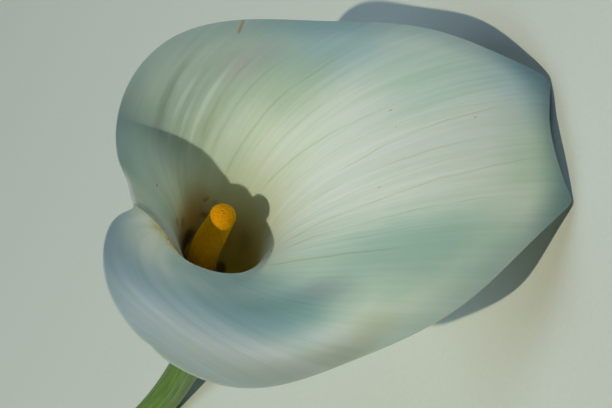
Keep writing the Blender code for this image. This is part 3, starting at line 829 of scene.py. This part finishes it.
def floret_material(name, gap_shade_colour, low_colour, high_colour, grit, roughness):
    """Tiny florets: painted shade in the gaps, a deeper colour, a tone of its own on each, and fine grit."""
    material, tree = new_material(name)
    raised = add_node(tree, "ShaderNodeAttribute", attribute_name="raised").outputs["Fac"]
    tone = add_node(tree, "ShaderNodeAttribute", attribute_name="tone").outputs["Fac"]
    spot = add_node(tree, "ShaderNodeTexCoord").outputs["Object"]
    dust = add_node(tree, "ShaderNodeTexNoise", {"Vector": spot, "Scale": 1 / grit, "Detail": 3.0}).outputs[0]
    own = add_node(tree, "ShaderNodeMath", {0: tone, 1: dust}, operation="MULTIPLY").outputs[0]
    body = add_node(tree, "ShaderNodeMix", {0: own, 6: hex_colour(low_colour), 7: hex_colour(high_colour)},
                    data_type="RGBA").outputs[2]
    # Painted shade: the gaps between florets take the deeper colour.
    depth = add_node(tree, "ShaderNodeMapRange", {0: raised, 1: 0.0, 2: 0.55}).outputs[0]
    colour = add_node(tree, "ShaderNodeMix", {0: depth, 6: hex_colour(gap_shade_colour), 7: body}, data_type="RGBA")
    bump = add_node(tree, "ShaderNodeBump", {"Height": dust, "Strength": 0.5, "Distance": 0.06 * MM})
    shader = add_node(tree, "ShaderNodeBsdfPrincipled", {
        "Base Color": colour.outputs[2], "Roughness": roughness, "Normal": bump.outputs[0],
        "Specular IOR Level": 0.12, "Subsurface Weight": 0.35,
        "Subsurface Radius": (1.0, 0.6, 0.1), "Subsurface Scale": 0.8 * MM,
    })
    add_node(tree, "ShaderNodeOutputMaterial", {"Surface": shader.outputs[0]})
    return material


def add_florets(name, surface, material):
    """A zone of the finger as a piece, with the relief from 0 to 1 and each floret's own tone."""
    points, raised, tone = surface
    low, high = raised.min(), raised.max()
    values = {"raised": (raised - low) / (high - low), "tone": tone}
    return add_piece(name, laid_down(points), rings_faces(*points.shape[:2]), material, values)


stamens = add_florets(
    "stamen_finger",
    finger_surface(PISTIL_ZONE + CLEAR, SPADIX_LENGTH, STAMEN_STEP, STAMEN_PITCH, stamen_shape, 5),
    floret_material("golden_stamens", "#D27A00", "#FAA200", "#FFC600", 0.25 * MM, 0.75),
)
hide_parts("spadix_stamens")
pistils = add_florets(
    "pistil_collar",
    finger_surface(CLEAR, PISTIL_ZONE, PISTIL_STEP, PISTIL_PITCH, pistil_shape, 6),
    floret_material("pale_green_pistils", "#8B9A4C", "#C2CB84", "#DDE2A8", 0.6 * MM, 0.45),
)
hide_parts("spadix_pistils")

# ----------------------------------------------------------------------------
# Fallen pollen
# Golden dust that the stamens have shed. It clings in crumbs to the waxy leaf, most of it in the
# throat below the finger and in a streak beside the inner margin, where an insect has rubbed.
# ----------------------------------------------------------------------------
CRUMBS = 420
CRUMB_RADIUS = 0.15 * MM
CRUMB_LEAST = 0.45  # a corner's distance as a share of that, at least, and what chance adds
CRUMB_SPREAD = 0.75
# Where it lies: middle across and along, spread across and along in millimetres, and its share.
DUSTINGS = [
    (-58.4, 60, 0.7, 9, 0.8), (-56.4, 54, 1.0, 6, 0.9), (-60.0, 70, 0.5, 5, 0.25),
    (50, 40, 6, 8, 0.12), (37, 38, 5, 6, 0.12), (10, 34, 10, 8, 0.06), (-12, 62, 16, 8, 0.006),
]


def crumb_mesh():
    """Eight-sided lumps: six corners each, at uneven distances from a middle on the inner skin.

    The middles are drawn from the leaf's own grid with a chance that falls off as a bell curve
    round each dusting, and slide by a random part of the grid's two steps.
    """
    dice = np.random.default_rng(11)
    across, along, inside = np.moveaxis(leaf_values["grain"], -1, 0)
    chance = np.zeros(across.shape)
    for at_across, at_along, wide, long, part in DUSTINGS:
        away = ((across - at_across) / wide) ** 2 + ((along - at_along) / long) ** 2
        chance += part * np.exp(-away)
    # None on the outer skin, or on the grid's last column and row, past which there is no next.
    chance *= inside > 0.99
    chance[-1] = 0
    chance[:, -1] = 0
    picked = dice.choice(chance.size, CRUMBS, p=chance.ravel() / chance.sum())
    column, row = np.unravel_index(picked, chance.shape)
    slide = dice.random((2, CRUMBS, 1))
    here = leaf_points[column, row]
    middle = here + slide[0] * (leaf_points[column + 1, row] - here)
    middle = middle + slide[1] * (leaf_points[column, row + 1] - here)
    corners = np.array([[1, 0, 0], [-1, 0, 0], [0, 1, 0], [0, -1, 0], [0, 0, 1], [0, 0, -1]])
    size = CRUMB_RADIUS * (CRUMB_LEAST + CRUMB_SPREAD * dice.random((CRUMBS, 6, 1)) ** 1.5)
    points = middle[:, None] + corners * size
    eight = [(0, 2, 4), (2, 1, 4), (1, 3, 4), (3, 0, 4), (2, 0, 5), (1, 2, 5), (3, 1, 5), (0, 3, 5)]
    faces = (np.array(eight)[None] + 6 * np.arange(CRUMBS)[:, None, None]).reshape(-1, 3)
    tone = np.repeat(dice.random(CRUMBS), 6)
    return points, faces.tolist(), {"tone": tone}


def pollen_material():
    """Dry pollen: quite matt, from deep amber to light gold from crumb to crumb."""
    material, tree = new_material("dry_golden_pollen")
    tone = add_node(tree, "ShaderNodeAttribute", attribute_name="tone").outputs["Fac"]
    spot = add_node(tree, "ShaderNodeTexCoord").outputs["Object"]
    # Grit of twelve grains to the millimetre, as coarse as it needs to be to show.
    grit = add_node(tree, "ShaderNodeTexNoise", {"Vector": spot, "Scale": 12 / MM}).outputs[0]
    share = add_node(tree, "ShaderNodeMath", {0: tone, 1: grit}, operation="MULTIPLY").outputs[0]
    colour = add_node(tree, "ShaderNodeMix", {0: share, 6: hex_colour("#B98014"), 7: hex_colour("#F6CB3C")},
                      data_type="RGBA")
    shader = add_node(tree, "ShaderNodeBsdfPrincipled", {"Base Color": colour.outputs[2], "Roughness": 0.85})
    add_node(tree, "ShaderNodeOutputMaterial", {"Surface": shader.outputs[0]})
    return material


points, faces, values = crumb_mesh()
pollen = add_piece("fallen_pollen", laid_down(points), faces, pollen_material(), values)

# ----------------------------------------------------------------------------
# Table, light and camera
# A plain pale table. One lamp stands high on the side of the inner lobe, small enough to draw the
# rim's shadow into the throat, and two wide soft ones and the pale room fill the rest.
# ----------------------------------------------------------------------------
TABLE_SIZE = 6.0
table_mesh = bpy.data.meshes.new("table")
corners = [(x * TABLE_SIZE / 2, y * TABLE_SIZE / 2, 0) for x, y in ((-1, -1), (1, -1), (1, 1), (-1, 1))]
table_mesh.from_pydata(corners, [], [(0, 1, 2, 3)])
table = bpy.data.objects.new("table", table_mesh)
bpy.context.scene.collection.objects.link(table)
# Matt painted board: no gloss, and fibres a millimetre or two long that barely show.
material, tree = new_material("pale_matt_board")
spot = add_node(tree, "ShaderNodeTexCoord").outputs["Object"]
fibre = add_node(tree, "ShaderNodeTexNoise", {"Vector": spot, "Scale": 0.6 / MM, "Detail": 3.0}).outputs[0]
tint = add_node(tree, "ShaderNodeMix", {0: fibre, 6: hex_colour("#DDDFDC"), 7: hex_colour("#E6E7E3")},
                data_type="RGBA")
shader = add_node(tree, "ShaderNodeBsdfPrincipled", {"Base Color": tint.outputs[2], "Roughness": 0.8})
add_node(tree, "ShaderNodeOutputMaterial", {"Surface": shader.outputs[0]})
table_mesh.materials.append(material)

# The way from the mouth to each lamp, in the bloom's own frame.
TO_LAMP = np.array([-0.764, -0.376, 0.525])
LAMP_DISTANCE = 2.5
LAMP_SIZE = 0.05
TO_SOFT_ABOVE = np.array([-0.985, 0.0, 0.174])
TO_SOFT_ASIDE = np.array([0.0, 0.766, 0.643])
SOFT_DISTANCE = 1.5
SOFT_SIZE = 0.9
MOUTH_HEIGHT = 62 * MM
mouth = foot + MOUTH_HEIGHT * bloom_axis


def add_lamp(name, direction, distance, size, power, colour):
    """A round area lamp that looks at the mouth from a direction in the bloom's own frame."""
    data = bpy.data.lights.new(name, "AREA")
    data.shape = "DISK"
    data.size = size
    data.energy = power
    data.color = hex_colour(colour)[:3]
    lamp = bpy.data.objects.new(name, data)
    direction = to_table @ direction / np.linalg.norm(direction)
    lamp.location = mouth + direction * distance
    aim = Vector((-direction).tolist())
    lamp.rotation_euler = aim.to_track_quat("-Z", "Y").to_euler()
    bpy.context.scene.collection.objects.link(lamp)


add_lamp("main_lamp", TO_LAMP, LAMP_DISTANCE, LAMP_SIZE, 30, "#FFFAD8")
add_lamp("soft_lamp_above", TO_SOFT_ABOVE, SOFT_DISTANCE, SOFT_SIZE, 5.8, "#D2F2FF")
add_lamp("soft_lamp_aside", TO_SOFT_ASIDE, SOFT_DISTANCE, SOFT_SIZE, 4.2, "#BEE2FF")
world = bpy.data.worlds.new("pale_room")
world.use_nodes = True
bpy.context.scene.world = world
background = world.node_tree.nodes["Background"]
background.inputs["Color"].default_value = hex_colour("#DCE6EE")
background.inputs["Strength"].default_value = 0.03

# The view: VIEW_OFF_AXIS from the bloom's axis, over the azimuth VIEW_SIDE, rolled by VIEW_ROLL.
VIEW_OFF_AXIS = math.radians(30.52)
VIEW_SIDE = math.radians(180 + 63.13)
VIEW_ROLL = math.radians(73.37)
VIEW_DISTANCE = 470 * MM
VIEW_LENS = 88.2
SENSOR_WIDTH = 36
AIM_RIGHT = -24.8 * MM
AIM_UP = -3.0 * MM
axis = np.array([0, 0, 1])
aside = np.array([math.cos(VIEW_SIDE), math.sin(VIEW_SIDE), 0])
toward = math.cos(VIEW_OFF_AXIS) * axis + math.sin(VIEW_OFF_AXIS) * aside
axis_up = (axis - math.cos(VIEW_OFF_AXIS) * toward) / math.sin(VIEW_OFF_AXIS)
axis_left = np.cross(toward, axis_up)
right = math.cos(VIEW_ROLL) * axis_up - math.sin(VIEW_ROLL) * axis_left
up = math.sin(VIEW_ROLL) * axis_up + math.cos(VIEW_ROLL) * axis_left
eye = MOUTH_HEIGHT * axis - AIM_RIGHT * right - AIM_UP * up + VIEW_DISTANCE * toward
camera_data = bpy.data.cameras.new("camera")
camera_data.lens = VIEW_LENS
camera_data.sensor_width = SENSOR_WIDTH
camera_data.clip_start = 0.01
camera = bpy.data.objects.new("camera", camera_data)
pose = np.eye(4)
pose[:3, :3] = to_table @ np.stack([right, up, toward], axis=1)
pose[:3, 3] = to_table @ eye + foot
camera.matrix_world = Matrix(pose.tolist())
bpy.context.scene.collection.objects.link(camera)
bpy.context.scene.camera = camera
bpy.context.scene.view_settings.view_transform = "Standard"
